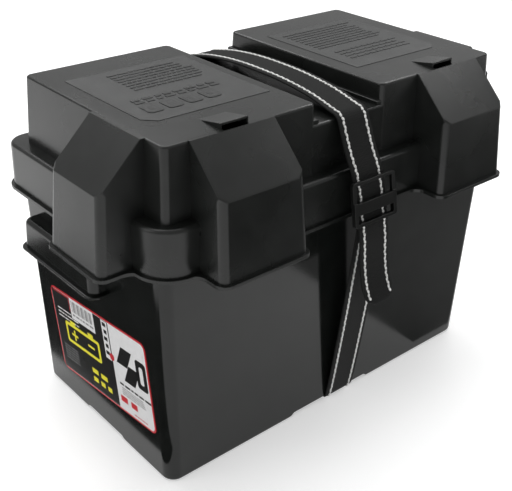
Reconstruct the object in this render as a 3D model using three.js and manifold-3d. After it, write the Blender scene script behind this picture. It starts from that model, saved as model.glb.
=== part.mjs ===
// Group-size battery box: a moulded tub, a lift-off lid with hollow cable pods,
// and a webbing strap drawn tight through a three-bar buckle.
// Units are millimetres. X runs along the box, -Y is the front with the buckle, +Z is up.
// The origin is the middle of the whole object's footprint, on the surface it stands on.

import * as THREE from "three";
import { mergeVertices } from "three/addons/utils/BufferGeometryUtils.js";
import Module from "manifold-3d";

const wasm = await Module();
wasm.setup();

// ---------- driving dimensions ----------

const WALL = 2.5; // moulded wall of tub and lid
const GAP = 0.3; // clearance kept between pieces that touch
const CORNER_STEPS = 5; // facets on each rounded upright corner

// tub, half sizes at the floor and at the rim
const TUB_HALF_X = 172.4;
const TUB_HALF_Y = 94.6;
const TUB_HEIGHT = 223.2;
const TUB_RIM_HALF_X = 178.6;
const TUB_RIM_HALF_Y = 98.4;
const TUB_CORNER = 11;
const TUB_RIM_CORNER = 16;
const TUB_Y = 1.7; // the tub sits slightly further back than the lid's raised halves
const FOOT_HEIGHT = 5;
const STRAP_RECESS_HALF = 43; // strap recess under the middle, half width at its roof
const END_RECESS_HALF = 25; // matching recess under the two ends
const RECESS_SLOPE = 6; // how far each recess widens down to the ground

// end handles: a rail with a turned-down skirt, set back from the lid's end pod
const HANDLE_TOP = 170;
const HANDLE_BOTTOM = 143;
const HANDLE_OUT = 190;
const HANDLE_FRONT = -25;
const HANDLE_BACK = 80;
const HANDLE_WALL = 2.6;
const HANDLE_LIP = 3;
const HANDLE_CORNER = 7;

// lid
const LID_BOTTOM = 187;
const LIP_HEIGHT = 3;
const LIP_OUT = 2.6;
const SKIRT_TOP = 222.5;
const LEDGE_Z = 226;
const CHANNEL_Z = 264;
const PLATEAU_Z = 280.3;
const SKIRT_HALF_X = 183;
const SKIRT_FRONT = -104.5;
const SKIRT_BACK = 111.8;
const SKIRT_CORNER_FRONT = 25;
const SKIRT_CORNER_BACK = 17;
const HUMP_HALF_X = 168;
const HUMP_HALF_Y = 91;
const HUMP_FOOT_X = 171;
const HUMP_FOOT_Y = 94;
const CHANNEL_HALF = 34.5;
const HUMP_CORNER = 5;

// cable pods on the lid: two on the front, one on each end
const POD_CREASE_Z = 247.5;
const POD_CORNER = 8;
const FRONT_POD_NEAR = 75; // distance from the middle of the box to the pod's near side
const FRONT_POD_FAR = 148;
const FRONT_POD_OUT = 127;
const END_POD_FRONT = -70;
const END_POD_BACK = -8;
const END_POD_OUT = 206;
const POD_SLOPE = 33.5; // the slope's run from the crease back to the plateau
const POD_FLARE = 3.5; // how much further out a pod stands at the lip than at its crease
const POD_SIDE_FLARE = 2.5;

// vent hoods on the plateau, above the front pods
const HOOD_CENTRE = 108;
const HOOD_WIDTH = 24;
const HOOD_BACK = -64;
const HOOD_FRONT = -88.5;
const HOOD_RISE = 4.6;
const HOOD_WALL = 1.4;

// webbing strap and its buckle
const STRAP_WIDTH = 32;
const STRAP_THICK = 1.6;
const STRAP_X = 3; // the strap lies a little right of the box's middle
const STRAP_X_TOP = 6; // and its lower front stretch slants from here
const STRAP_X_FOOT = 9; // to here at the tub's bottom edge
const BUCKLE_WIDTH = 46;
const BUCKLE_BAR = 3.4;
const BUCKLE_RAIL = 5.4;
const BUCKLE_DEPTH = 4;
const BUCKLE_TOP = { y: -115.8, z: 221.5 }; // ends of the buckle's back face
const BUCKLE_BOTTOM = { y: -121.8, z: 187 };

// paper label on the left end wall
const LABEL_LENGTH = 141;
const LABEL_HEIGHT = 81;
const LABEL_THICK = 0.4;
const LABEL_Y = -4.6;
const LABEL_Z = 74.4;
const RECESS_CORNER = 8;
const LABEL_TILT = 6;

// ---------- materials ----------

const blackPlastic = new THREE.MeshStandardMaterial({
  color: 0x2a2c2b, roughness: 0.35, metalness: 0, flatShading: true });
const lidPlastic = new THREE.MeshStandardMaterial({
  color: 0x3b3d3c, roughness: 0.45, metalness: 0, flatShading: true });
const webbing = new THREE.MeshStandardMaterial({
  color: 0x1b1b1b, roughness: 0.9, metalness: 0, flatShading: true });
const bucklePlastic = new THREE.MeshStandardMaterial({
  color: 0x161717, roughness: 0.4, metalness: 0, flatShading: true });
const labelPaper = new THREE.MeshStandardMaterial({
  color: 0xd8d5d0, roughness: 0.6, metalness: 0, flatShading: true });

// ---------- geometry helpers ----------

// Closed outline of a rounded rectangle at one height, anticlockwise seen from above.
// radii holds the corners in the order (-x,-y), (+x,-y), (+x,+y), (-x,+y).
function outline({ x0, x1, y0, y1, z, radii }) {
  const centres = [
    [x0 + radii[0], y0 + radii[0]],
    [x1 - radii[1], y0 + radii[1]],
    [x1 - radii[2], y1 - radii[2]],
    [x0 + radii[3], y1 - radii[3]],
  ];
  const points = [];
  centres.forEach(([cx, cy], corner) => {
    for (let step = 0; step <= CORNER_STEPS; step += 1) {
      const angle = Math.PI * (1 + corner / 2) + (Math.PI / 2) * (step / CORNER_STEPS);
      const x = cx + radii[corner] * Math.cos(angle);
      const y = cy + radii[corner] * Math.sin(angle);
      points.push(new THREE.Vector3(x, y, z));
    }
  });
  return points;
}

// Outline centred on the tub's axis, with one radius all round.
function centredOutline(halfX, halfY, z, radius) {
  return outline({ x0: -halfX, x1: halfX, y0: -halfY, y1: halfY, z, radii: Array(4).fill(radius) });
}

// Closed geometry through a stack of outlines that have the same number of points.
function loft(rings) {
  const count = rings[0].length;
  const positions = rings.flat().flatMap((point) => point.toArray());
  const index = [];
  for (let level = 0; level < rings.length - 1; level += 1) {
    for (let i = 0; i < count; i += 1) {
      const a = level * count + i;
      const b = level * count + ((i + 1) % count);
      index.push(a, b, b + count, a, b + count, a + count);
    }
  }
  const flat = rings[0].map((point) => new THREE.Vector2(point.x, point.y));
  const lid = (rings.length - 1) * count;
  for (const [a, b, c] of THREE.ShapeUtils.triangulateShape(flat, [])) {
    index.push(c, b, a);
  }
  const flatTop = rings.at(-1).map((point) => new THREE.Vector2(point.x, point.y));
  for (const [a, b, c] of THREE.ShapeUtils.triangulateShape(flatTop, [])) {
    index.push(lid + a, lid + b, lid + c);
  }
  const geometry = new THREE.BufferGeometry();
  geometry.setAttribute("position", new THREE.Float32BufferAttribute(positions, 3));
  geometry.setIndex(index);
  return geometry;
}

// Solid with a (y, z) profile, running along X from x0 to x1.
function alongX(profile, x0, x1) {
  const shape = new THREE.Shape(profile.map(([y, z]) => new THREE.Vector2(y, z)));
  const geometry = new THREE.ExtrudeGeometry(shape, { depth: x1 - x0, bevelEnabled: false });
  const turn = new THREE.Matrix4().makeBasis(
    new THREE.Vector3(0, 1, 0), new THREE.Vector3(0, 0, 1), new THREE.Vector3(1, 0, 0));
  return geometry.applyMatrix4(turn).translate(x0, 0, 0);
}

// Solid with an (x, z) profile, running along Y from y0 to y1.
function alongY(profile, y0, y1) {
  const shape = new THREE.Shape(profile.map(([x, z]) => new THREE.Vector2(x, z)));
  const geometry = new THREE.ExtrudeGeometry(shape, { depth: y1 - y0, bevelEnabled: false });
  return geometry.rotateX(Math.PI / 2).translate(0, y1, 0);
}

function box(x0, x1, y0, y1, z0, z1) {
  const geometry = new THREE.BoxGeometry(x1 - x0, y1 - y0, z1 - z0);
  return geometry.translate((x0 + x1) / 2, (y0 + y1) / 2, (z0 + z1) / 2);
}

// Mirror image in the plane X = 0, with each triangle turned so that it still faces outwards.
function mirroredX(geometry) {
  const copy = geometry.clone().scale(-1, 1, 1);
  const index = Array.from(copy.index.array);
  for (let i = 0; i < index.length; i += 3) {
    [index[i], index[i + 1]] = [index[i + 1], index[i]];
  }
  copy.setIndex(index);
  return copy;
}

function solid(geometry) {
  const bare = geometry.clone();
  bare.deleteAttribute("normal");
  bare.deleteAttribute("uv");
  const merged = mergeVertices(bare, 1e-4);
  const vertProperties = new Float32Array(merged.getAttribute("position").array);
  const triVerts = new Uint32Array(merged.index.array);
  return new wasm.Manifold(new wasm.Mesh({ numProp: 3, vertProperties, triVerts }));
}

function joined(geometries) {
  return geometries.map(solid).reduce((sum, next) => sum.add(next));
}

// Geometry of a joined or cut solid.
function surface(shape) {
  const { vertProperties, triVerts } = shape.getMesh();
  const geometry = new THREE.BufferGeometry();
  geometry.setAttribute("position", new THREE.Float32BufferAttribute(vertProperties, 3));
  geometry.setIndex(Array.from(triVerts));
  return geometry;
}

// Named mesh from a geometry or from a solid.
function part(name, shape, material) {
  const geometry = shape instanceof THREE.BufferGeometry ? shape : surface(shape);
  const mesh = new THREE.Mesh(geometry, material);
  mesh.name = name;
  return mesh;
}

// ---------- tub ----------

// The tub widens evenly from floor to rim.
function tubHalfAt(z, inset = 0) {
  const t = z / TUB_HEIGHT;
  return {
    halfX: THREE.MathUtils.lerp(TUB_HALF_X, TUB_RIM_HALF_X, t) - inset,
    halfY: THREE.MathUtils.lerp(TUB_HALF_Y, TUB_RIM_HALF_Y, t) - inset,
  };
}

function tubOutline(z, inset, radius) {
  const { halfX, halfY } = tubHalfAt(z, inset);
  return centredOutline(halfX, halfY, z, radius);
}

function batteryTub() {
  const footInset = 2;
  const outside = loft([
    tubOutline(0, footInset, TUB_CORNER - footInset),
    tubOutline(footInset, 0, TUB_CORNER),
    tubOutline(TUB_HEIGHT, 0, TUB_RIM_CORNER),
  ]);
  const floorZ = FOOT_HEIGHT + WALL;
  const inside = [
    loft([
      tubOutline(floorZ, WALL, TUB_CORNER - WALL),
      tubOutline(TUB_HEIGHT + 10, WALL, TUB_RIM_CORNER - WALL),
    ]),
  ];
  // each corner foot is hollow from inside, so the wall stays even
  const footX0 = STRAP_RECESS_HALF + RECESS_SLOPE + WALL;
  const footY0 = END_RECESS_HALF + RECESS_SLOPE + WALL;
  const footX1 = TUB_HALF_X - footInset - WALL;
  const footY1 = TUB_HALF_Y - footInset - WALL;
  for (const sx of [-1, 1]) {
    for (const sy of [-1, 1]) {
      const xs = [sx * footX0, sx * footX1].sort((a, b) => a - b);
      const ys = [sy * footY0, sy * footY1].sort((a, b) => a - b);
      const limits = { x0: xs[0], x1: xs[1], y0: ys[0], y1: ys[1], radii: Array(4).fill(RECESS_CORNER) };
      inside.push(loft([outline({ ...limits, z: WALL }), outline({ ...limits, z: floorZ + 1 })]));
    }
  }
  const strapRecess = [
    [-STRAP_RECESS_HALF - RECESS_SLOPE - 1, -1], [STRAP_RECESS_HALF + RECESS_SLOPE + 1, -1],
    [STRAP_RECESS_HALF, FOOT_HEIGHT], [-STRAP_RECESS_HALF, FOOT_HEIGHT]];
  const endRecess = [
    [-END_RECESS_HALF - RECESS_SLOPE - 1, -1], [END_RECESS_HALF + RECESS_SLOPE + 1, -1],
    [END_RECESS_HALF, FOOT_HEIGHT], [-END_RECESS_HALF, FOOT_HEIGHT]];
  return solid(outside)
    .subtract(joined(inside))
    .subtract(solid(alongY(strapRecess, -150, 150)))
    .subtract(solid(alongX(endRecess, -200, 200)))
    .translate([0, TUB_Y, 0]);
}

// Rail on the right end. Its skirt hangs clear of the wall, so fingers pass up behind it.
function endHandle() {
  const railRing = (z, out, inset) => outline({
    x0: 150, x1: out, y0: HANDLE_FRONT + inset, y1: HANDLE_BACK - inset, z,
    radii: [1, HANDLE_CORNER, HANDLE_CORNER, 1] });
  const topRound = 5;
  const body = loft([
    railRing(HANDLE_BOTTOM, HANDLE_OUT, 0),
    railRing(HANDLE_TOP - topRound, HANDLE_OUT - 1, 0.5),
    railRing(HANDLE_TOP - 1.5, HANDLE_OUT - 2.5, 2),
    railRing(HANDLE_TOP, HANDLE_OUT - 5.5, 5),
  ]);
  const lip = loft([
    railRing(HANDLE_BOTTOM, HANDLE_OUT + HANDLE_LIP, -HANDLE_LIP),
    railRing(HANDLE_BOTTOM + 3, HANDLE_OUT + HANDLE_LIP - 0.6, -HANDLE_LIP + 0.6),
  ]);
  const gapRing = (z, out) => outline({
    x0: 140, x1: out, y0: HANDLE_FRONT + HANDLE_WALL, y1: HANDLE_BACK - HANDLE_WALL, z,
    radii: [1, 5, 5, 1] });
  const fingerGap = loft([
    gapRing(HANDLE_BOTTOM - 1, HANDLE_OUT - HANDLE_WALL),
    gapRing(HANDLE_TOP - HANDLE_WALL, HANDLE_OUT - HANDLE_WALL - 2.5),
  ]);
  const wallClear = loft([
    tubOutline(HANDLE_BOTTOM - 5, -GAP, TUB_RIM_CORNER),
    tubOutline(HANDLE_TOP + 5, -GAP, TUB_RIM_CORNER),
  ]);
  return joined([body, lip]).subtract(joined([fingerGap, wallClear]));
}

// ---------- lid ----------

function humpRings(side, inset, top, foot) {
  const limits = (near, far, halfY, z) => {
    const xs = [side * near, side * far].sort((a, b) => a - b);
    const radius = HUMP_CORNER - inset / 2;
    return outline({ x0: xs[0], x1: xs[1], y0: -halfY, y1: halfY, z, radii: Array(4).fill(radius) });
  };
  return [
    limits(CHANNEL_HALF + inset - 1.5, HUMP_FOOT_X - inset, HUMP_FOOT_Y - inset, foot),
    limits(CHANNEL_HALF + inset, HUMP_HALF_X - inset, HUMP_HALF_Y - inset, top),
  ];
}

// A cable pod seen from above: drafted up to the crease, then sloping back to the plateau.
function podRings(edges, direction, inset, bottom) {
  const level = (z, back, flare) => {
    const e = { ...edges };
    e[direction.out] -= direction.sign * (back + inset);
    e[direction.low] += inset - flare;
    e[direction.high] -= inset - flare;
    const r = POD_CORNER - inset / 2;
    return outline({ x0: e.x0, x1: e.x1, y0: e.y0, y1: e.y1, z, radii: direction.round.map((on) => on * r + 1) });
  };
  return [
    level(bottom, -POD_FLARE, POD_SIDE_FLARE),
    level(POD_CREASE_Z - inset / 2, 1.5, 0),
    level(PLATEAU_Z - inset, POD_SLOPE + 1.5, 0),
  ];
}

const frontPod = {
  edges: { x0: FRONT_POD_NEAR, x1: FRONT_POD_FAR, y0: -FRONT_POD_OUT, y1: -80 },
  direction: { out: "y0", sign: -1, low: "x0", high: "x1", round: [1, 1, 0, 0] },
};
const endPod = {
  edges: { x0: 150, x1: END_POD_OUT, y0: END_POD_FRONT, y1: END_POD_BACK },
  direction: { out: "x1", sign: 1, low: "y0", high: "y1", round: [0, 1, 1, 0] },
};

function podSolids(inset, bottom) {
  return [frontPod, endPod].flatMap(({ edges, direction }) => {
    const right = loft(podRings(edges, direction, inset, bottom));
    return [right, mirroredX(right)];
  });
}

// The skirt's outline at one height, grown outwards or, with a negative value, drawn in.
function skirtOutline(grow, z) {
  const front = SKIRT_CORNER_FRONT + grow;
  const back = SKIRT_CORNER_BACK + grow;
  return outline({
    x0: -SKIRT_HALF_X - grow, x1: SKIRT_HALF_X + grow, y0: SKIRT_FRONT - grow, y1: SKIRT_BACK + grow,
    z, radii: [front, front, back, back] });
}

// Turned-out lip that follows the lid's whole bottom edge.
function lipSolids() {
  const skirt = loft([
    skirtOutline(LIP_OUT, LID_BOTTOM),
    skirtOutline(LIP_OUT - 0.8, LID_BOTTOM + LIP_HEIGHT),
  ]);
  const pods = [frontPod, endPod].flatMap(({ edges, direction }) => {
    const rings = [[LID_BOTTOM, LIP_OUT], [LID_BOTTOM + LIP_HEIGHT, LIP_OUT - 0.8]].map(([z, grow]) => {
      const e = { ...edges };
      e[direction.out] += direction.sign * (grow + POD_FLARE);
      e[direction.low] -= grow + POD_SIDE_FLARE;
      e[direction.high] += grow + POD_SIDE_FLARE;
      const radii = direction.round.map((on) => on * (POD_CORNER + grow) + 1);
      return outline({ x0: e.x0, x1: e.x1, y0: e.y0, y1: e.y1, z, radii });
    });
    const right = loft(rings);
    return [right, mirroredX(right)];
  });
  return [skirt, ...pods];
}

function hoodProfile(inset) {
  const lift = HOOD_RISE - inset;
  return [
    [HOOD_BACK - inset * 4, PLATEAU_Z - 1 - inset], [HOOD_BACK - inset * 4, PLATEAU_Z - inset / 2],
    [HOOD_FRONT - inset, PLATEAU_Z + lift], [HOOD_FRONT - inset, PLATEAU_Z - 1 - inset]];
}

function lidShell() {
  const channelBlock = box(-CHANNEL_HALF - 2, CHANNEL_HALF + 2, -HUMP_FOOT_Y + 1, HUMP_FOOT_Y - 1,
    LEDGE_Z - 1, CHANNEL_Z);
  const skirt = loft([
    skirtOutline(0, LID_BOTTOM),
    skirtOutline(-0.6, SKIRT_TOP),
    skirtOutline(-1.8, SKIRT_TOP + 2.4),
    skirtOutline(-4, LEDGE_Z),
  ]);
  const hoods = [-1, 1].map((side) => {
    const x = side * HOOD_CENTRE;
    return alongX(hoodProfile(0).reverse(), x - HOOD_WIDTH / 2, x + HOOD_WIDTH / 2);
  });
  const outside = joined([
    skirt,
    ...lipSolids(),
    channelBlock,
    ...[-1, 1].map((side) => loft(humpRings(side, 0, PLATEAU_Z, LEDGE_Z - 1))),
    ...podSolids(0, LID_BOTTOM),
    ...hoods,
  ]);
  const skirtInside = loft([
    skirtOutline(-WALL, LID_BOTTOM - 1),
    skirtOutline(-WALL - 0.9, LEDGE_Z - WALL),
  ]);
  const channelInside = box(-CHANNEL_HALF - 6, CHANNEL_HALF + 6, -HUMP_FOOT_Y + WALL + 1,
    HUMP_FOOT_Y - WALL - 1, LEDGE_Z - WALL - 1, CHANNEL_Z - WALL);
  const ventSlots = [-1, 1].map((side) => {
    const x = side * HOOD_CENTRE;
    const half = HOOD_WIDTH / 2 - HOOD_WALL;
    return alongX(hoodProfile(HOOD_WALL).reverse(), x - half, x + half);
  });
  const throats = [-1, 1].map((side) => {
    const x = side * HOOD_CENTRE;
    const half = HOOD_WIDTH / 2 - HOOD_WALL;
    return box(x - half, x + half, HOOD_FRONT + 7, HOOD_FRONT + 14, PLATEAU_Z - WALL - 1, PLATEAU_Z);
  });
  const inside = joined([
    skirtInside,
    channelInside,
    ...[-1, 1].map((side) => loft(humpRings(side, WALL, PLATEAU_Z - WALL, LEDGE_Z - WALL - 1))),
    ...podSolids(WALL, LID_BOTTOM - 1),
    ...ventSlots,
    ...throats,
  ]);
  return outside.subtract(inside);
}

// ---------- strap ----------

// Flat webbing that follows a route of (y, z) points. Its centre moves in X from xStart to xEnd.
function ribbon(route, xStart, xEnd, steps) {
  const curve = new THREE.CatmullRomCurve3(
    route.map(([y, z]) => new THREE.Vector3(0, y, z)), false, "centripetal");
  const samples = curve.getPoints(steps);
  const upper = [];
  const lower = [];
  samples.forEach((point, i) => {
    const before = samples[Math.max(i - 1, 0)];
    const after = samples[Math.min(i + 1, samples.length - 1)];
    const along = after.clone().sub(before).normalize();
    const side = new THREE.Vector3(0, -along.z, along.y).multiplyScalar(STRAP_THICK / 2);
    upper.push(point.clone().add(side));
    lower.push(point.clone().sub(side));
  });
  const outlinePoints = [...lower, ...upper.reverse()];
  const profile = outlinePoints.map((point) => [point.y, point.z]);
  const geometry = alongX(profile, -STRAP_WIDTH / 2, STRAP_WIDTH / 2);
  const position = geometry.getAttribute("position");
  const first = route[0];
  const last = route.at(-1);
  for (let i = 0; i < position.count; i += 1) {
    const travelled = Math.abs(position.getZ(i) - first[1]) + Math.abs(position.getY(i) - first[0]);
    const whole = Math.abs(last[1] - first[1]) + Math.abs(last[0] - first[0]);
    const t = THREE.MathUtils.clamp(travelled / whole, 0, 1);
    position.setX(i, position.getX(i) + THREE.MathUtils.lerp(xStart, xEnd, t));
  }
  return geometry;
}

// Middle line of each stretch of webbing, front to back or top to bottom.
const resting = STRAP_THICK / 2 + GAP;
const underZ = FOOT_HEIGHT - resting - 0.5;
const strapStretches = [
  { name: "strap_over_lid", steps: 16, xStart: STRAP_X, xEnd: STRAP_X, route: [
    [92.5, CHANNEL_Z + resting], [70, 271.5], [36, 275.4], [0, 276.4], [-36, 275.2], [-70, 271],
    [-92, CHANNEL_Z + resting + 1.5]] },
  { name: "strap_upper_front", steps: 14, xStart: STRAP_X, xEnd: STRAP_X, route: [
    [-95.4, CHANNEL_Z - 0.6], [-100.5, 250], [-106, 238], [-111.6, 226], [-114.4, 216],
    [-116.8, 203], [-118.8, 190]] },
  { name: "strap_upper_rear", steps: 10, xStart: STRAP_X, xEnd: STRAP_X, route: [
    [95.9, CHANNEL_Z - 1.4], [101.5, 250], [107.5, 238], [112.6, 227.5], [114.8, 218],
    [115.8, 206], [116.8, 189]] },
  { name: "strap_lower_front", steps: 8, xStart: STRAP_X_TOP, xEnd: STRAP_X_FOOT, route: [
    [-117.6, 186], [-112, 135], [-103, 66], [-94.4, 5.4]] },
  { name: "strap_lower_rear", steps: 6, xStart: STRAP_X, xEnd: STRAP_X, route: [
    [115.6, 184.6], [110.7, 135], [103.8, 66], [97.8, 5.4]] },
  { name: "strap_under_base", steps: 2, xStart: STRAP_X_FOOT, xEnd: STRAP_X, route: [
    [-94, underZ], [97.4, underZ]] },
  { name: "strap_tail", steps: 10, xStart: STRAP_X, xEnd: STRAP_X, route: [
    [-122.8, 184.8], [-124.4, 170], [-126.4, 152], [-130, 136], [-137.5, 121]] },
];

// ---------- buckle ----------

// Moulded three-bar buckle, built flat with its length along Z, then laid on the strap.
function buckle() {
  const length = Math.hypot(BUCKLE_TOP.y - BUCKLE_BOTTOM.y, BUCKLE_TOP.z - BUCKLE_BOTTOM.z);
  const halfWidth = BUCKLE_WIDTH / 2;
  const frame = loft([0, BUCKLE_DEPTH].map((z) => outline({
    x0: -halfWidth, x1: halfWidth, y0: 0, y1: length, z, radii: [3, 3, 3, 3] })));
  const windowHalf = halfWidth - BUCKLE_RAIL;
  const middleLow = length * 0.2;
  const middleHigh = length * 0.58;
  const upperWindow = box(-windowHalf, windowHalf, middleHigh, length - BUCKLE_BAR, -1, BUCKLE_DEPTH + 1);
  const lowerWindow = box(-windowHalf, windowHalf, BUCKLE_BAR, middleLow, -1, BUCKLE_DEPTH + 1);
  const lean = Math.atan2(BUCKLE_TOP.y - BUCKLE_BOTTOM.y, BUCKLE_TOP.z - BUCKLE_BOTTOM.z);
  const laid = new THREE.Matrix4()
    .makeTranslation(STRAP_X, BUCKLE_BOTTOM.y, BUCKLE_BOTTOM.z)
    .multiply(new THREE.Matrix4().makeRotationX(Math.PI / 2 - lean));
  const shape = solid(frame).subtract(joined([upperWindow, lowerWindow]));
  const mesh = part("buckle", shape, bucklePlastic);
  mesh.geometry.applyMatrix4(laid);
  return mesh;
}

// ---------- label ----------

function endLabel() {
  const label = box(-LABEL_THICK, 0, -LABEL_LENGTH / 2, LABEL_LENGTH / 2,
    -LABEL_HEIGHT / 2, LABEL_HEIGHT / 2);
  label.rotateX(-THREE.MathUtils.degToRad(LABEL_TILT));
  const mesh = part("end_label", label, labelPaper);
  const { halfX } = tubHalfAt(LABEL_Z);
  mesh.rotation.y = -Math.atan2(TUB_RIM_HALF_X - TUB_HALF_X, TUB_HEIGHT);
  mesh.position.set(-halfX - GAP, LABEL_Y, LABEL_Z);
  return mesh;
}

// ---------- assembly ----------

const batteryBox = new THREE.Group();

batteryBox.add(part("battery_tub", batteryTub(), blackPlastic));
const rightHandle = part("end_handle_right", endHandle(), blackPlastic);
batteryBox.add(rightHandle);
batteryBox.add(part("end_handle_left", mirroredX(rightHandle.geometry), blackPlastic));
batteryBox.add(part("lid_shell", lidShell(), lidPlastic));
batteryBox.add(endLabel());
for (const { name, route, xStart, xEnd, steps } of strapStretches) {
  batteryBox.add(part(name, ribbon(route, xStart, xEnd, steps), webbing));
}
batteryBox.add(buckle());

// stand the origin in the middle of the footprint
const middle = new THREE.Box3().setFromObject(batteryBox).getCenter(new THREE.Vector3());
batteryBox.position.set(0, -middle.y, 0);

export default batteryBox;
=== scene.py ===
# %% [markdown]
# # A moulded battery box, with a strap that holds its lid down
#
# The real thing is two black polypropylene mouldings, a tub and a lid, with webbing drawn tight
# round both and a plastic buckle. The moving design is already made and packed: this script loads
# it as a frame that stays put, and builds the surfaces that are seen around it.

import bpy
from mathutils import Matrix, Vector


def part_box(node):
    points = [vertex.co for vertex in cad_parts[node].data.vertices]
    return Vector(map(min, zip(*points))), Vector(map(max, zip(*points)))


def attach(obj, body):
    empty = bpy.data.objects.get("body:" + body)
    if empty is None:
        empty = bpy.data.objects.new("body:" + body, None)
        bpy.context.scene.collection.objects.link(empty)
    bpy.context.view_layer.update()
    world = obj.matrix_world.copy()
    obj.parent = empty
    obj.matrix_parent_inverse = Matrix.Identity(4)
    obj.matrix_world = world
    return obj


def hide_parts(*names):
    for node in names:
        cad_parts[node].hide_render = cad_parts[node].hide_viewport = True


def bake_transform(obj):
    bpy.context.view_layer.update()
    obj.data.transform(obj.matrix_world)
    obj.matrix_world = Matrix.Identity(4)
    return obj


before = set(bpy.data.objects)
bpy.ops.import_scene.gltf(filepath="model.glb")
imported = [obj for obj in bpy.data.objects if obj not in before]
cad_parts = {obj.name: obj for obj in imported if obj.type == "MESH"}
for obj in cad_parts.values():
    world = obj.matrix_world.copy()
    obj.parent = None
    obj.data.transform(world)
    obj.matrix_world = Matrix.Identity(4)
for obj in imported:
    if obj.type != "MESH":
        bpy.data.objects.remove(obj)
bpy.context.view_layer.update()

import math

import bmesh
import bpy
from mathutils import Matrix, Vector

print("nodes:", sorted(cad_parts))

# %% [markdown]
# Sizes below are in millimetres, as on a drawing, and `mm()` turns them into Blender's metres.
# They are counted from the middle of the lid's raised halves. The tub sits 1.7 mm further back,
# and the frame says where the tub is, so everything else follows from its box.

# %% Scale and the middle of the lid
tub_low, tub_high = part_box("battery_tub")
TUB_Y = 1.7
MIDDLE_Y = (tub_low.y + tub_high.y) / 2 - TUB_Y / 1000


def mm(x, y, z):
    """A point in millimetres from the middle of the lid, as Blender metres."""
    return Vector((x / 1000, y / 1000 + MIDDLE_Y, z / 1000))


RIM_X = (tub_high.x - tub_low.x) * 500
RIM_Y = (tub_high.y - tub_low.y) * 500
RIM_Z = tub_high.z * 1000
print(f"rim half sizes {RIM_X:.1f} x {RIM_Y:.1f} mm, height {RIM_Z:.1f} mm")

# %% [markdown]
# ## Helpers
#
# Operators work on whatever is selected, so every step starts by clearing the selection and
# picking its own faces or edges, by where they are or which way they point.

# %% Selecting and starting pieces


def only(obj):
    """Make obj the one selected, active object, in object mode."""
    if bpy.context.object and bpy.context.object.mode != "OBJECT":
        bpy.ops.object.mode_set(mode="OBJECT")
    bpy.ops.object.select_all(action="DESELECT")
    obj.select_set(True)
    bpy.context.view_layer.objects.active = obj


def clear_selection():
    """Leave edit mode and select nothing."""
    if bpy.context.object and bpy.context.object.mode != "OBJECT":
        bpy.ops.object.mode_set(mode="OBJECT")
    bpy.ops.object.select_all(action="DESELECT")


def choose(obj, kind, test):
    """Go into edit mode with just the faces, edges or vertices selected that pass the test."""
    only(obj)
    bpy.ops.object.mode_set(mode="EDIT")
    bpy.ops.mesh.select_mode(type=kind)
    bpy.ops.mesh.select_all(action="DESELECT")
    mesh = bmesh.from_edit_mesh(obj.data)
    items = {"FACE": mesh.faces, "EDGE": mesh.edges, "VERT": mesh.verts}[kind]
    picked = [item for item in items if test(item)]
    for item in picked:
        item.select_set(True)
    bmesh.update_edit_mesh(obj.data)
    return len(picked)


def done():
    bpy.ops.object.mode_set(mode="OBJECT")


def settle():
    """Put the active object's place, turn and scale into its mesh."""
    bpy.ops.object.transform_apply(location=True, rotation=True, scale=True)


def modify(obj, kind, **settings):
    """Add a modifier to obj, set it up and apply it at once."""
    only(obj)
    modifier = obj.modifiers.new(kind.lower(), kind)
    for setting, value in settings.items():
        setattr(modifier, setting, value)
    bpy.ops.object.modifier_apply(modifier=modifier.name)


def flat_sheet(name, middle, width, depth):
    """A level rectangle in metres. The plane operator takes no scale, so it's set afterwards."""
    clear_selection()
    bpy.ops.mesh.primitive_plane_add(size=1, location=middle)
    flat = bpy.context.object
    flat.name = name
    flat.scale = (width, depth, 1)
    settle()
    return flat


def extrude(x, y, z):
    """Extrude what is selected in edit mode, by an offset in millimetres."""
    bpy.ops.mesh.extrude_region_move(
        TRANSFORM_OT_translate={"value": (x / 1000, y / 1000, z / 1000)})


def face_outwards():
    """Turn every face of the mesh in edit mode outwards, and leave edit mode."""
    bpy.ops.mesh.select_all(action="SELECT")
    bpy.ops.mesh.normals_make_consistent(inside=False)
    done()


def between(side, inner, outer):
    """Two places along X on one side of the box, the lower one first."""
    return sorted((side * inner, side * outer))


def block(name, low, high):
    """A box between two corners given in millimetres."""
    clear_selection()
    a, b = mm(*low), mm(*high)
    bpy.ops.mesh.primitive_cube_add(size=1, location=(a + b) / 2, scale=b - a)
    settle()
    bpy.context.object.name = name
    return bpy.context.object


# %% [markdown]
# Most edges of a moulding are rounded. These tests find a box's upright edges and the edges round
# its top, and `round_edges` bevels them with the bevel operator.

# %% Rounding edges


def is_upright(edge):
    a, b = (v.co for v in edge.verts)
    return abs(a.z - b.z) > 0.7 * (a - b).length


def at_height(z, tolerance=0.05):
    """Test for edges that lie level at z millimetres."""
    def test(edge):
        return all(abs(v.co.z * 1000 - z) < tolerance for v in edge.verts)
    return test


def round_edges(obj, test, radius, segments):
    count = choose(obj, "EDGE", test)
    if count:
        bpy.ops.mesh.bevel(offset=radius / 1000, segments=segments, affect="EDGES",
                           offset_type="OFFSET", profile=0.5, clamp_overlap=True)
    done()
    return obj


def set_top(obj, z, low_xy, high_xy):
    """Taper a box: move its top corners to the given rectangle."""
    low, high = mm(*low_xy, z), mm(*high_xy, z)
    choose(obj, "FACE", lambda face: face.normal.z > 0.9)
    mesh = bmesh.from_edit_mesh(obj.data)
    top = [v.co for v in mesh.verts if v.select]
    centre = sum(top, Vector()) / len(top)
    size = Vector((max(c.x for c in top) - min(c.x for c in top),
                   max(c.y for c in top) - min(c.y for c in top), 1))
    ratio = ((high.x - low.x) / size.x, (high.y - low.y) / size.y, 1)
    bpy.ops.transform.resize(value=ratio, center_override=centre)
    bpy.ops.transform.translate(value=(low + high) / 2 - centre)
    done()


# %% [markdown]
# Pieces of a moulding are joined and hollowed with the Boolean modifier, which is applied at once.
# The tools it used are deleted.

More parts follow.
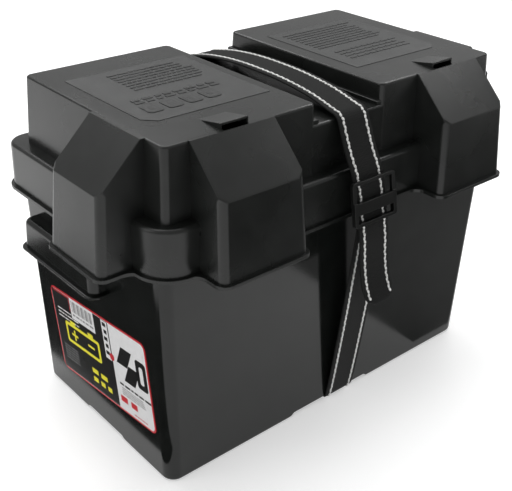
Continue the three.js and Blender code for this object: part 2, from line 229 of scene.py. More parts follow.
# %% Joining and cutting


def combine(obj, tools, operation):
    """Join the tools to obj, or cut them out of it, and remove them."""
    for tool in tools:
        modify(obj, "BOOLEAN", operation=operation, solver="EXACT", object=tool)
        bpy.data.objects.remove(tool, do_unlink=True)
    return obj


def finish_shading(obj, angle=33):
    """Smooth the rounded edges, and keep the flat faces flat with area-weighted normals."""
    only(obj)
    bpy.ops.object.mode_set(mode="EDIT")
    bpy.ops.mesh.select_all(action="SELECT")
    bpy.ops.mesh.remove_doubles(threshold=0.00002)
    bpy.ops.mesh.select_all(action="SELECT")
    bpy.ops.mesh.dissolve_degenerate(threshold=0.00001)
    bpy.ops.object.mode_set(mode="OBJECT")
    bpy.ops.object.shade_smooth_by_angle(angle=math.radians(angle))
    modify(obj, "WEIGHTED_NORMAL", keep_sharp=True, weight=90)
    return obj


# %% [markdown]
# ## The tub
#
# The tub is one thin-walled moulding that widens towards the rim. It starts as a box at its real
# size: the top is widened, the upright corners and the foot edges are rounded, and the two shallow
# recesses are cut across its underside. Then the open top is deleted and Solidify gives the wall
# its thickness, so the four feet come out hollow inside, as in a real moulding.

# %% Tub
WALL = 2.5
FOOT_X, FOOT_Y = 172.4, 94.6
FOOT_CORNER = 11
FOOT_ROUND = 3.5
RIM_ROUND = 0.7
RECESS_HEIGHT = 5
STRAP_RECESS = (43, 50)
END_RECESS = (25, 32)


def wedge_along(name, half_top, half_bottom, axis, reach):
    """A long bar with sloping sides, used to cut a recess across the underside."""
    low, high = -1, RECESS_HEIGHT
    if axis == "y":
        bar = block(name, (-half_bottom, -reach, low), (half_bottom, reach, high))
        set_top(bar, high, (-half_top, -reach), (half_top, reach))
    else:
        bar = block(name, (-reach, -half_bottom, low), (reach, half_bottom, high))
        set_top(bar, high, (-reach, -half_top), (reach, half_top))
    return bar


tub = block("tub_shell", (-FOOT_X, TUB_Y - FOOT_Y, 0), (FOOT_X, TUB_Y + FOOT_Y, RIM_Z))
round_edges(tub, is_upright, FOOT_CORNER, 10)
set_top(tub, RIM_Z, (-RIM_X, TUB_Y - RIM_Y), (RIM_X, TUB_Y + RIM_Y))
round_edges(tub, at_height(0), FOOT_ROUND, 4)
combine(tub, [wedge_along("strap_recess", *STRAP_RECESS, "y", 150),
              wedge_along("end_recess", *END_RECESS, "x", 220)], "DIFFERENCE")
choose(tub, "FACE", lambda face: face.normal.z > 0.9 and face.calc_center_median().z > 0.2)
bpy.ops.mesh.delete(type="FACE")
done()
modify(tub, "SOLIDIFY", thickness=WALL / 1000, offset=-1, use_even_offset=True)
round_edges(tub, lambda edge: all(v.co.z * 1000 > RIM_Z - 0.05 for v in edge.verts)
            and len(edge.link_faces) == 2 and edge.calc_face_angle(0) > 1.0, RIM_ROUND, 2)
finish_shading(tub)
print("tub:", len(tub.data.polygons), "faces")

# %% [markdown]
# ## The end handles
#
# Each end has a rail with a turned-down skirt, so that fingers hook up behind it. A box is rounded
# on its outer corners and its top, hollowed from below, and given an outward lip along the bottom.

# %% End handles
HANDLE_FRONT, HANDLE_BACK = -25, 80
HANDLE_BOTTOM, HANDLE_TOP = 143, 170
HANDLE_OUT = 190
HANDLE_WALL = 2.6
HANDLE_ROOT = 150  # inside the tub, and cut away to its wall at the end
HANDLE_LIP = 3


def wall_clearance(side, gap):
    """A block that fills the tub's end from the handle's level, slightly larger than the tub."""
    def half_x(z):
        return FOOT_X + (RIM_X - FOOT_X) * z / RIM_Z + gap
    low, high = HANDLE_BOTTOM - 6, HANDLE_TOP + 6
    xs = between(side, 120, half_x(low))
    tool = block("wall_clearance", (xs[0], -120, low), (xs[1], 120, high))
    xs = between(side, 120, half_x(high))
    set_top(tool, high, (xs[0], -120), (xs[1], 120))
    return tool


def end_handle(name, side):
    def span(inner, outer, front, back, bottom, top):
        xs = between(side, inner, outer)
        return (xs[0], front, bottom), (xs[1], back, top)

    def is_outer(edge):
        return all(v.co.x * side > 0.165 for v in edge.verts)

    rail = block(name, *span(HANDLE_ROOT, HANDLE_OUT, HANDLE_FRONT, HANDLE_BACK,
                             HANDLE_BOTTOM, HANDLE_TOP))
    xs = between(side, HANDLE_ROOT, HANDLE_OUT - 1.2)
    set_top(rail, HANDLE_TOP, (xs[0], HANDLE_FRONT + 1), (xs[1], HANDLE_BACK - 1))
    round_edges(rail, lambda edge: is_upright(edge) and is_outer(edge), 7, 8)
    round_edges(rail, lambda edge: at_height(HANDLE_TOP)(edge) and
                any(v.co.x * side > 0.155 for v in edge.verts) and len(edge.link_faces) == 2,
                4.5, 6)
    lip = block("lip", *span(HANDLE_ROOT, HANDLE_OUT + HANDLE_LIP, HANDLE_FRONT - HANDLE_LIP,
                             HANDLE_BACK + HANDLE_LIP, HANDLE_BOTTOM,
                             HANDLE_BOTTOM + HANDLE_WALL))
    round_edges(lip, lambda edge: is_upright(edge) and is_outer(edge), 9, 8)
    round_edges(lip, lambda edge: not is_upright(edge) and is_outer(edge), 1.1, 3)
    combine(rail, [lip], "UNION")
    hollow = block("hollow", *span(140, HANDLE_OUT - HANDLE_WALL, HANDLE_FRONT + HANDLE_WALL,
                                   HANDLE_BACK - HANDLE_WALL, HANDLE_BOTTOM - 2,
                                   HANDLE_TOP - HANDLE_WALL))
    xs = between(side, 140, HANDLE_OUT - HANDLE_WALL - 2.5)
    set_top(hollow, HANDLE_TOP - HANDLE_WALL, (xs[0], HANDLE_FRONT + HANDLE_WALL),
            (xs[1], HANDLE_BACK - HANDLE_WALL))
    round_edges(hollow, lambda edge: is_upright(edge) and is_outer(edge), 5, 5)
    combine(rail, [hollow, wall_clearance(side, 0.1)], "DIFFERENCE")
    return finish_shading(rail)


handles = {name: end_handle(name + "_grip", side)
           for name, side in (("end_handle_left", -1), ("end_handle_right", 1))}
print("handles:", [len(h.data.polygons) for h in handles.values()])

# %% [markdown]
# ## The lid
#
# The lid is a hollow shell too, but a busier one. Seen from above, its bottom edge is one wavy
# line: a rounded rectangle with four cable pods standing out, and small fillets in between. The
# turned-out lip follows that line, so it's drawn flat first: a plane is cut with bisect where the
# pods start and stop, the pods' edges are extruded outwards, and the corners are rounded with a
# vertex bevel.

# %% Lid dimensions
LID_BOTTOM = 187
LEDGE_Z = 226
SKIRT_X = 183
SKIRT_FRONT, SKIRT_BACK = -104.5, 111.8
SKIRT_CORNER_FRONT, SKIRT_CORNER_BACK = 25, 17
FRONT_POD = (75, 148)
FRONT_POD_OUT = 125.5
END_POD = (-70, -8)
END_POD_OUT = 204.5
POD_FLARE, POD_SIDE_FLARE = 5, 2.5
POD_CORNER = 6
LIP_OUT = 2.5
LIP_HEIGHT = 2.8

# %% Lip outline
LIP_X = SKIRT_X + LIP_OUT
LIP_FRONT, LIP_BACK = SKIRT_FRONT - LIP_OUT, SKIRT_BACK + LIP_OUT
POD_GROW = POD_SIDE_FLARE + LIP_OUT
LIP_POD = (FRONT_POD[0] - POD_GROW, FRONT_POD[1] + POD_GROW)
LIP_END_POD = (END_POD[0] - POD_GROW, END_POD[1] + POD_GROW)
NEAR = 0.05


def cut(obj, axis, value):
    """Bisect the whole flat outline where one coordinate has a value."""
    point = mm(value, 0, 0) if axis == 0 else mm(0, value, 0)
    normal = (1, 0, 0) if axis == 0 else (0, 1, 0)
    choose(obj, "FACE", lambda face: True)
    bpy.ops.mesh.bisect(plane_co=point, plane_no=normal)
    done()


def place(vertex):
    """A vertex's X and Y in millimetres from the middle of the lid."""
    return vertex.co.x * 1000, (vertex.co.y - MIDDLE_Y) * 1000


def lip_outline():
    flat = flat_sheet("lid_lip", mm(0, (LIP_FRONT + LIP_BACK) / 2, LID_BOTTOM),
                      2 * LIP_X / 1000, (LIP_BACK - LIP_FRONT) / 1000)
    for side in (-1, 1):
        for edge_at in LIP_POD:
            cut(flat, 0, side * edge_at)
    for edge_at in LIP_END_POD:
        cut(flat, 1, edge_at)

    def on_front(edge):
        (ax, ay), (bx, by) = (place(v) for v in edge.verts)
        level = abs(ay - LIP_FRONT) < NEAR and abs(by - LIP_FRONT) < NEAR
        return level and LIP_POD[0] < abs(ax + bx) / 2 < LIP_POD[1]

    def on_end(edge, side):
        (ax, ay), (bx, by) = (place(v) for v in edge.verts)
        level = abs(side * ax - LIP_X) < NEAR and abs(side * bx - LIP_X) < NEAR
        return level and LIP_END_POD[0] < (ay + by) / 2 < LIP_END_POD[1]

    front_reach = FRONT_POD_OUT + POD_FLARE + LIP_OUT + LIP_FRONT
    choose(flat, "EDGE", on_front)
    extrude(0, -front_reach, 0)
    done()
    end_reach = END_POD_OUT + POD_FLARE + LIP_OUT - LIP_X
    for side in (-1, 1):
        choose(flat, "EDGE", lambda edge: on_end(edge, side))
        extrude(side * end_reach, 0, 0)
        done()
    choose(flat, "FACE", lambda face: True)
    bpy.ops.mesh.dissolve_faces()
    bpy.ops.mesh.select_all(action="SELECT")
    bpy.ops.mesh.dissolve_limited(angle_limit=0.01)
    done()
    return flat


# %% Round the outline
FILLET = 9


def round_outline(flat, test, radius, segments):
    count = choose(flat, "VERT", test)
    bpy.ops.mesh.bevel(offset=radius / 1000, segments=segments, affect="VERTICES")
    done()
    return count


def skirt_corner(at_y):
    def test(vertex):
        x, y = place(vertex)
        return abs(abs(x) - LIP_X) < NEAR and abs(y - at_y) < NEAR
    return test


def pod_corner(vertex):
    x, y = place(vertex)
    return y < LIP_FRONT - 10 or abs(x) > LIP_X + 10


def pod_fillet(vertex):
    x, y = place(vertex)
    at_front = abs(y - LIP_FRONT) < NEAR and min(abs(abs(x) - e) for e in LIP_POD) < NEAR
    at_end = abs(abs(x) - LIP_X) < NEAR and min(abs(y - e) for e in LIP_END_POD) < NEAR
    return at_front or at_end


lip = lip_outline()
round_outline(lip, skirt_corner(LIP_FRONT), SKIRT_CORNER_FRONT + LIP_OUT, 10)
round_outline(lip, skirt_corner(LIP_BACK), SKIRT_CORNER_BACK + LIP_OUT, 10)
round_outline(lip, pod_corner, POD_CORNER + LIP_OUT, 8)
fillets = round_outline(lip, pod_fillet, FILLET, 6)
print("outline points:", len(lip.data.vertices), "fillets rounded:", fillets)

# %% Raise the lip
choose(lip, "FACE", lambda face: True)
extrude(0, 0, LIP_HEIGHT)
face_outwards()
round_edges(lip, lambda edge: not is_upright(edge), 1.1, 4)
print("lip:", len(lip.data.polygons), "faces")

# %% [markdown]
# The raised halves, the skirt and the pods are boxes with tapered sides and rounded edges. A pod
# widens slightly down to the lip, because a moulding has to slide off its tool. Above its crease
# it slopes back to the plateau, to shed water away from the cables. Each shape is rounded before
# it's joined, so every outward edge of the lid catches the light.

# %% Skirt and raised halves
PLATEAU_Z = 280.3
CHANNEL_Z = 264
CHANNEL_HALF = 34.5
STEP_WIDTH, STEP_HEIGHT = 3.6, 3.2
HUMP_X, HUMP_Y = 168, 91
HUMP_FOOT = 3


def shift(obj, test, offset):
    """Move the vertices that pass the test, by an offset in millimetres."""
    choose(obj, "VERT", test)
    bpy.ops.transform.translate(value=tuple(part / 1000 for part in offset))
    done()


def skirt_block(inset):
    """The skirt, or with an inset the space inside it."""
    top = LEDGE_Z - inset
    bottom = LID_BOTTOM + 1 if not inset else LID_BOTTOM - 2
    obj = block("skirt", (-SKIRT_X + inset, SKIRT_FRONT + inset, bottom),
                (SKIRT_X - inset, SKIRT_BACK - inset, top))
    draft = inset + 0.6
    set_top(obj, top, (-SKIRT_X + draft, SKIRT_FRONT + draft),
            (SKIRT_X - draft, SKIRT_BACK - draft))
    round_edges(obj, lambda edge: is_upright(edge) and edge.verts[0].co.y < 0,
                SKIRT_CORNER_FRONT - inset, 12)
    round_edges(obj, lambda edge: is_upright(edge) and edge.verts[0].co.y > 0,
                SKIRT_CORNER_BACK - inset, 10)
    if not inset:
        round_edges(obj, at_height(top), 3.2, 5)
    return obj


def hump_block(side, inset):
    foot = LEDGE_Z - 3 - inset
    top = PLATEAU_Z - inset
    xs = between(side, CHANNEL_HALF - 1.5 + inset, HUMP_X + HUMP_FOOT - inset)
    obj = block("hump", (xs[0], -HUMP_Y - HUMP_FOOT + inset, foot),
                (xs[1], HUMP_Y + HUMP_FOOT - inset, top))
    xs = between(side, CHANNEL_HALF + inset, HUMP_X - inset)
    set_top(obj, top, (xs[0], -HUMP_Y + inset), (xs[1], HUMP_Y - inset))
    round_edges(obj, is_upright, 5 - inset, 5)
    if not inset:
        round_edges(obj, at_height(top), 1.8, 4)
    return obj


# %% Cable pods
CREASE_Z = 247.5
POD_SLOPE = 33.5
SLOPE_EDGE = 1.9


def pod_block(kind, side, inset):
    """One cable pod: a box up to the crease, raised to the plateau, its top edge slid back."""
    bottom = LID_BOTTOM + 1 if not inset else LID_BOTTOM - 2
    top = PLATEAU_Z - inset - 0.12
    crease = CREASE_Z - inset / 2
    at_front = kind == "front"
    if at_front:
        xs = between(side, FRONT_POD[0] + inset, FRONT_POD[1] - inset)
        obj = block("pod", (xs[0], -FRONT_POD_OUT + inset, bottom), (xs[1], -80, crease))
        outwards, sideways = (0, -1, 0), (1, 0, 0)
        middle = (xs[0] + xs[1]) / 2
    else:
        xs = between(side, 150, END_POD_OUT - inset)
        obj = block("pod", (xs[0], END_POD[0] + inset, bottom), (xs[1], END_POD[1] - inset, crease))
        outwards, sideways = (side, 0, 0), (0, 1, 0)
        middle = (END_POD[0] + END_POD[1]) / 2

    def is_outer(vertex):
        x, y = place(vertex)
        return y < -100 if at_front else abs(x) > 180

    def is_low(vertex):
        return vertex.co.z * 1000 < bottom + 1

    def beyond(vertex):
        x, y = place(vertex)
        return (x if at_front else y) > middle

    shift(obj, lambda v: is_low(v) and is_outer(v), [part * POD_FLARE for part in outwards])
    shift(obj, lambda v: is_low(v) and beyond(v), [part * POD_SIDE_FLARE for part in sideways])
    shift(obj, lambda v: is_low(v) and not beyond(v), [-part * POD_SIDE_FLARE for part in sideways])
    choose(obj, "FACE", lambda face: face.normal.z > 0.9)
    extrude(0, 0, top - crease)
    done()
    shift(obj, lambda v: v.co.z * 1000 > top - 0.1 and is_outer(v),
          [-part * POD_SLOPE for part in outwards])
    round_edges(obj, lambda edge: is_upright(edge) and all(is_outer(v) for v in edge.verts)
                and all(v.co.z * 1000 < crease + 0.1 for v in edge.verts),
                POD_CORNER - inset / 2, 8)

    def rims_slope(edge):
        slopes = [0.3 < face.normal.z < 0.9 and face.calc_area() > 0.0008
                  for face in edge.link_faces]
        return any(slopes) and not all(v.co.z * 1000 > top - 0.1 for v in edge.verts)

    if not inset:
        round_edges(obj, rims_slope, SLOPE_EDGE, 4)
    return obj


# %% [markdown]
# Between the halves runs the channel for the strap. Its floor is lower than the plateaus, and a
# small step runs along the foot of each side.

# %% Channel block and steps


def channel_block(inset):
    half = CHANNEL_HALF + (3 if not inset else 5)
    obj = block("channel", (-half, -HUMP_Y - HUMP_FOOT + 1 + inset, LEDGE_Z - 3 - inset),
                (half, HUMP_Y + HUMP_FOOT - 1 - inset, CHANNEL_Z - inset))
    set_top(obj, CHANNEL_Z - inset, (-half, -HUMP_Y - 0.6 + inset), (half, HUMP_Y + 0.6 - inset))
    if not inset:
        round_edges(obj, at_height(CHANNEL_Z), 1.8, 4)
    return obj


def channel_step(side):
    xs = between(side, CHANNEL_HALF - STEP_WIDTH, CHANNEL_HALF + 2)
    top = CHANNEL_Z + STEP_HEIGHT
    step = block("step", (xs[0], -HUMP_Y + 0.5, CHANNEL_Z - 3), (xs[1], HUMP_Y - 0.5, top))
    round_edges(step, at_height(top), 0.8, 3)
    return step


# %% [markdown]
# Above each front pod the plateau has a small louvre that vents the gas of a charging battery: a
# sloping hood, open towards the front. The hood is a wedge, and a smaller wedge cuts the slot
# under it through into the lid.

# %% Vent hoods
HOOD_X, HOOD_WIDTH = 108, 24
HOOD_BACK, HOOD_FRONT = -64, -88.5
HOOD_RISE = 4.4


def hood_wedge(side, inset):
    half = HOOD_WIDTH / 2 - inset
    x = side * HOOD_X
    low_z = PLATEAU_Z - (1 if not inset else 3.8)
    wedge = block("hood", (x - half, HOOD_FRONT - inset * 2, low_z),
                  (x + half, HOOD_BACK - inset * 3, PLATEAU_Z + HOOD_RISE - inset))
    choose(wedge, "VERT", lambda v: v.co.z * 1000 > PLATEAU_Z + 1 and
           (v.co.y - MIDDLE_Y) * 1000 > HOOD_BACK - inset * 3 - 1)
    bpy.ops.transform.translate(value=(0, 0, -(HOOD_RISE + 0.1) / 1000))
    done()
    if not inset:
        round_edges(wedge, lambda edge: all(v.co.z * 1000 > PLATEAU_Z - 0.5 for v in edge.verts),
                    0.6, 3)
    return wedge


# %% Join the lid
lid = skirt_block(0)
lid.name = "lid_moulding"
outer = [lip, channel_block(0), hump_block(-1, 0), hump_block(1, 0)]
outer += [pod_block(kind, side, 0) for kind in ("front", "end") for side in (-1, 1)]
outer += [channel_step(-1), channel_step(1), hood_wedge(-1, 0), hood_wedge(1, 0)]
combine(lid, outer, "UNION")
inner = [skirt_block(WALL), channel_block(WALL), hump_block(-1, WALL), hump_block(1, WALL)]
inner += [pod_block(kind, side, WALL) for kind in ("front", "end") for side in (-1, 1)]
inner += [hood_wedge(-1, 1.3), hood_wedge(1, 1.3)]
combine(lid, inner, "DIFFERENCE")
finish_shading(lid)
print("lid:", len(lid.data.polygons), "faces")

# %% [markdown]
# ## The strap
#
# The webbing is flat and stiff across its width, so it's modelled directly: a long grid whose rows
# are laid along one smooth route. The route starts behind the buckle, goes down the front, under
# the tub, up the back, over the lid in a slight bow, down behind the buckle's bars and out as the
# free tail.

# %% Strap route
STRAP_WIDTH, STRAP_THICK = 32, 1.6
STRAP_X, STRAP_X_TOP, STRAP_X_FOOT = 3, 6, 9
ROUTE = [
    (STRAP_X_TOP, -115.6, 203), (STRAP_X_TOP, -117.4, 188), (6.8, -112.2, 135),
    (8, -103.4, 66), (8.8, -95, 10), (STRAP_X_FOOT, -93.2, 4.2), (8.8, -86, 3.4),
    (6, 0, 3.4), (STRAP_X, 90, 3.4), (STRAP_X, 96.8, 4.2), (STRAP_X, 98.6, 10),
    (STRAP_X, 103.8, 66), (STRAP_X, 110.7, 135), (STRAP_X, 115.6, 184), (STRAP_X, 116.6, 192),
    (STRAP_X, 115.6, 206), (STRAP_X, 114.6, 218), (STRAP_X, 112.2, 228), (STRAP_X, 101.5, 250),
    (STRAP_X, 95.6, 262), (STRAP_X, 91.6, 265.6), (STRAP_X, 84, 267.8), (STRAP_X, 60, 272.6),
    (STRAP_X, 30, 275.7), (STRAP_X, 0, 276.4), (STRAP_X, -30, 275.5), (STRAP_X, -60, 272.2),
    (1.2, -84, 268.2), (1, -91, 266.6), (0.8, -94.6, 263.4), (0.6, -98, 256),
    (0.8, -106, 238), (1.4, -112, 226), (2.2, -115.2, 214), (STRAP_X, -117.4, 203),
    (STRAP_X, -119.6, 191), (STRAP_X, -121.6, 184.6), (STRAP_X, -124.2, 172),
    (STRAP_X, -126.2, 154), (STRAP_X, -130, 137), (STRAP_X, -137.5, 121),
]


def smooth_route(points, spacing):
    """Points at even spacing along a centripetal curve through the given ones."""
    knots = [Vector(p) for p in points]
    knots = [2 * knots[0] - knots[1], *knots, 2 * knots[-1] - knots[-2]]
    fine = []
    for a, b, c, d in zip(knots, knots[1:], knots[2:], knots[3:]):
        t0, t1 = 0, (b - a).length ** 0.5
        t2 = t1 + (c - b).length ** 0.5
        t3 = t2 + (d - c).length ** 0.5
        for step in range(24):
            t = t1 + (t2 - t1) * step / 24
            ab = a * ((t1 - t) / (t1 - t0)) + b * ((t - t0) / (t1 - t0))
            bc = b * ((t2 - t) / (t2 - t1)) + c * ((t - t1) / (t2 - t1))
            cd = c * ((t3 - t) / (t3 - t2)) + d * ((t - t2) / (t3 - t2))
            abc = ab * ((t2 - t) / (t2 - t0)) + bc * ((t - t0) / (t2 - t0))
            bcd = bc * ((t3 - t) / (t3 - t1)) + cd * ((t - t1) / (t3 - t1))
            fine.append(abc * ((t2 - t) / (t2 - t1)) + bcd * ((t - t1) / (t2 - t1)))
    fine.append(knots[-2])
    even, carried = [fine[0]], 0
    for a, b in zip(fine, fine[1:]):
        length = (b - a).length
        while length and carried + length >= spacing:
            a = a.lerp(b, (spacing - carried) / length)
            even.append(a)
            length = (b - a).length
            carried = 0
        carried += length
    return even


STRAP_STEP = 3
route = smooth_route(ROUTE, STRAP_STEP)
print(f"strap: {STRAP_STEP * (len(route) - 1)} mm of webbing in {len(route)} rows")


def outward(i):
    """Unit vector out of the webbing's outer face at row i, level across the width."""
    along = (route[min(i + 1, len(route) - 1)] - route[max(i - 1, 0)]).normalized()
    return Vector((0, along.z, -along.y)).normalized(), along


# %% [markdown]
# The webbing parts at the lid's rear edge. What lies over the lid, with the tail, moves with the
# lid, and what lies round the tub is attached to no body. Each part is a grid whose rows are
# moved onto the route. Its UV map is kept and scaled to millimetres, so the weave drawn on it later
# has the same scale on both parts and follows every bend. Solidify gives the thickness.

# %% Webbing
ACROSS = 8
TAIL_ROUND = 12
rows = len(route)
split_row = next(i for i, point in enumerate(route) if point.y > 0 and point.z > LID_BOTTOM)


def half_width(i):
    """Half the webbing's width at row i: the tail's end is cut round."""
    from_end = (rows - 1 - i) * STRAP_STEP
    if from_end >= TAIL_ROUND:
        return STRAP_WIDTH / 2
    return STRAP_WIDTH / 2 * (0.45 + 0.55 * math.sqrt(1 - (1 - from_end / TAIL_ROUND) ** 2))


def webbing_part(name, first, last):
    """The webbing from row first to row last, with its woven thickness and soft edges."""
    count = last - first
    clear_selection()
    bpy.ops.mesh.primitive_grid_add(x_subdivisions=ACROSS, y_subdivisions=count, size=1)
    part = bpy.context.object
    part.name = name
    for vertex in part.data.vertices:
        row = first + round((vertex.co.y + 0.5) * count)
        point = route[row]
        vertex.co = mm(point.x + vertex.co.x * 2 * half_width(row), point.y, point.z)
    for corner in part.data.uv_layers[0].data:
        corner.uv = (corner.uv[0] * STRAP_WIDTH, corner.uv[1] * count * STRAP_STEP)
    modify(part, "SOLIDIFY", thickness=STRAP_THICK / 1000, offset=0)
    modify(part, "BEVEL", width=0.0005, segments=2, angle_limit=math.radians(50))
    bpy.ops.object.shade_smooth_by_angle(angle=math.radians(60))
    return part


lower_webbing = webbing_part("strap_round_tub", 0, split_row)
upper_webbing = webbing_part("strap_over_lid_and_tail", split_row, rows - 1)
print("webbing:", [len(part.data.polygons) for part in (lower_webbing, upper_webbing)], "faces")

# %% [markdown]
# Two rows of thick white thread are sewn along the webbing. One stitch is modelled from a small
# sphere drawn out long and flattened, and copied along both rows. Each stitch leans the other way
# to its neighbour and sits a little to the side, which gives the look of a chain.

# %% Stitching
STITCH_ROW = 11.4
STITCH_EDGE = 3
STITCH_LEAN = math.radians(22)
STITCH_SHIFT = 0.22
clear_selection()
bpy.ops.mesh.primitive_uv_sphere_add(segments=8, ring_count=5, radius=0.001, location=(0, 0, 0))
stitch = bpy.context.object
choose(stitch, "VERT", lambda v: True)
bpy.ops.transform.resize(value=(1.2, 1.75, 0.6), center_override=(0, 0, 0))
done()


def stitch_place(i, side):
    """Where stitch i of a row lies: on the outer face, along the route, leaning by turns."""
    out, along = outward(i)
    turn = 1 if i % 2 else -1
    across = Vector((1, 0, 0))
    forward = along * math.cos(STITCH_LEAN) + across * math.sin(STITCH_LEAN) * turn
    sideways = forward.cross(out).normalized()
    basis = Matrix((sideways, forward, out)).transposed().to_4x4()
    point = route[i] + out * (STRAP_THICK / 2 + 0.15)
    offset = min(STITCH_ROW, half_width(i) - STITCH_EDGE)
    x = point.x + side * offset + turn * STITCH_SHIFT
    return Matrix.Translation(mm(x, point.y, point.z)) @ basis


def stitched(name, first, last):
    """The stitches from row first to row last, built from copies of the one stitch."""
    copies = []
    for side in (-1, 1):
        for i in range(first, last):
            copy = bpy.data.objects.new(name, stitch.data.copy())
            copy.data.transform(stitch_place(i, side))
            bpy.context.collection.objects.link(copy)
            copies.append(copy)
    clear_selection()
    for copy in copies:
        copy.select_set(True)
    bpy.context.view_layer.objects.active = copies[0]
    bpy.ops.object.join()
    bpy.ops.object.shade_smooth()
    copies[0].name = name
    return copies[0]


lower_stitches = stitched("strap_stitching_tub", 2, split_row)
upper_stitches = stitched("strap_stitching_lid", split_row, rows - 2)
bpy.data.objects.remove(stitch, do_unlink=True)
print("stitching:", len(lower_stitches.data.polygons) + len(upper_stitches.data.polygons), "faces")

# %% [markdown]
# ## The buckle
#
# A three-bar buckle is one nylon moulding: two rails, a top bar, a wide middle bar that grips the
# webbing, and a bottom bar. It's modelled lying upright at the origin, then leant against the strap
# at its real angle, and the lean is applied so that the finished piece sits at the origin.

# %% Buckle
BUCKLE_WIDTH = 46
BUCKLE_BOTTOM = (-121.8, 187)
BUCKLE_TOP = (-115.8, 221.5)
BUCKLE_DEPTH = 4
BAR = 2.6
RAIL = 3.6
MIDDLE_BAR = (0.27, 0.54)
buckle_length = math.hypot(BUCKLE_TOP[0] - BUCKLE_BOTTOM[0], BUCKLE_TOP[1] - BUCKLE_BOTTOM[1])


def loose_block(name, low, high):
    """A box in millimetres, counted from the world's origin instead of the tub's middle."""
    clear_selection()
    a, b = Vector(low) / 1000, Vector(high) / 1000
    bpy.ops.mesh.primitive_cube_add(size=1, location=(a + b) / 2, scale=b - a)
    settle()
    bpy.context.object.name = name
    return bpy.context.object


half = BUCKLE_WIDTH / 2
window = half - RAIL
middle_low, middle_high = (buckle_length * part for part in MIDDLE_BAR)
buckle = loose_block("strap_buckle", (-half, -BUCKLE_DEPTH, 0), (half, 0, buckle_length))
round_edges(buckle, lambda e: abs(e.verts[0].co.y - e.verts[1].co.y) > 0.003, 2.6, 6)
combine(buckle, [
    loose_block("upper", (-window, -9, middle_high), (window, 9, buckle_length - BAR)),
    loose_block("lower", (-window, -9, BAR), (window, 9, middle_low)),
    loose_block("thin_top", (-half - 1, -BUCKLE_DEPTH - 1, middle_high + 0.6),
                (half + 1, -BUCKLE_DEPTH + 1.1, buckle_length + 1)),
], "DIFFERENCE")
modify(buckle, "BEVEL", width=0.0006, segments=3, angle_limit=math.radians(40))
lean = math.atan2(BUCKLE_TOP[0] - BUCKLE_BOTTOM[0], BUCKLE_TOP[1] - BUCKLE_BOTTOM[1])
buckle.rotation_euler = (-lean, 0, 0)
buckle.location = mm(STRAP_X, *BUCKLE_BOTTOM)
settle()
finish_shading(buckle, 40)
print("buckle:", len(buckle.data.polygons), "faces")

# %% [markdown]
# ## Materials
#
# Every finish is made of nodes on object coordinates, so it stays put on its piece. Black plastic
# is mostly a matter of its surface: a dark base, a roughness that drifts a little, and a fine bump
# at the scale of the mould's texture.

# %% Node helpers


def material(name, colour, roughness):
    """A new material, its node tree and its shader."""
    made = bpy.data.materials.new(name)
    made.use_nodes = True
    tree = made.node_tree
    shader = tree.nodes["Principled BSDF"]
    shader.inputs["Base Color"].default_value = (*colour, 1)
    shader.inputs["Roughness"].default_value = roughness
    return made, tree, shader


def noise(tree, scale, detail, source):
    node = tree.nodes.new("ShaderNodeTexNoise")
    node.inputs["Scale"].default_value = scale
    node.inputs["Detail"].default_value = detail
    tree.links.new(source, node.inputs["Vector"])
    return node.outputs["Fac"]


def ramp(tree, value, low, high, start, end):
    """Map a 0 to 1 value to start..end between low and high."""
    node = tree.nodes.new("ShaderNodeMapRange")
    node.inputs["From Min"].default_value = low
    node.inputs["From Max"].default_value = high
    node.inputs["To Min"].default_value = start
    node.inputs["To Max"].default_value = end
    tree.links.new(value, node.inputs["Value"])
    return node.outputs["Result"]


def mix_colour(tree, factor, a, b):
    node = tree.nodes.new("ShaderNodeMix")
    node.data_type = "RGBA"
    tree.links.new(factor, node.inputs["Factor"])
    for socket, value in (("A", a), ("B", b)):
        target = [i for i in node.inputs if i.name == socket and i.type == "RGBA"][0]
        if isinstance(value, tuple):
            target.default_value = (*value, 1)
        else:
            tree.links.new(value, target)
    return [o for o in node.outputs if o.type == "RGBA"][0]


def bump(tree, shader, height, strength, distance, before=None):
    node = tree.nodes.new("ShaderNodeBump")
    node.inputs["Strength"].default_value = strength
    node.inputs["Distance"].default_value = distance
    tree.links.new(height, node.inputs["Height"])
    if before is not None:
        tree.links.new(before, node.inputs["Normal"])
    tree.links.new(node.outputs["Normal"], shader.inputs["Normal"])
    return node.outputs["Normal"]


def arithmetic(tree, operation, *values):
    """A maths node fed by sockets or plain numbers."""
    node = tree.nodes.new("ShaderNodeMath")
    node.operation = operation
    for target, value in zip(node.inputs, values):
        if isinstance(value, float):
            target.default_value = value
        else:
            tree.links.new(value, target)
    return node.outputs[0]


def object_coordinates(tree):
    return tree.nodes.new("ShaderNodeTexCoord").outputs["Object"]


# %% [markdown]
# ## The label and the embossed panels
#
# The label is a sheet of film with rounded corners, stuck slightly askew on the sloping end wall.
# Its print is a few very thin patches on top of each other. Each patch starts as a plane at its
# own place on the sheet, its corners are rounded with a vertex bevel, and it's drawn up into a thin
# closed slab. The whole sheet is laid on the wall at the end. The marks are plain shapes and bars
# that stand in for print.

# %% Patches
LABEL_LENGTH, LABEL_HEIGHT = 141, 81
PRINT_THICK = 0.03
patches = {}


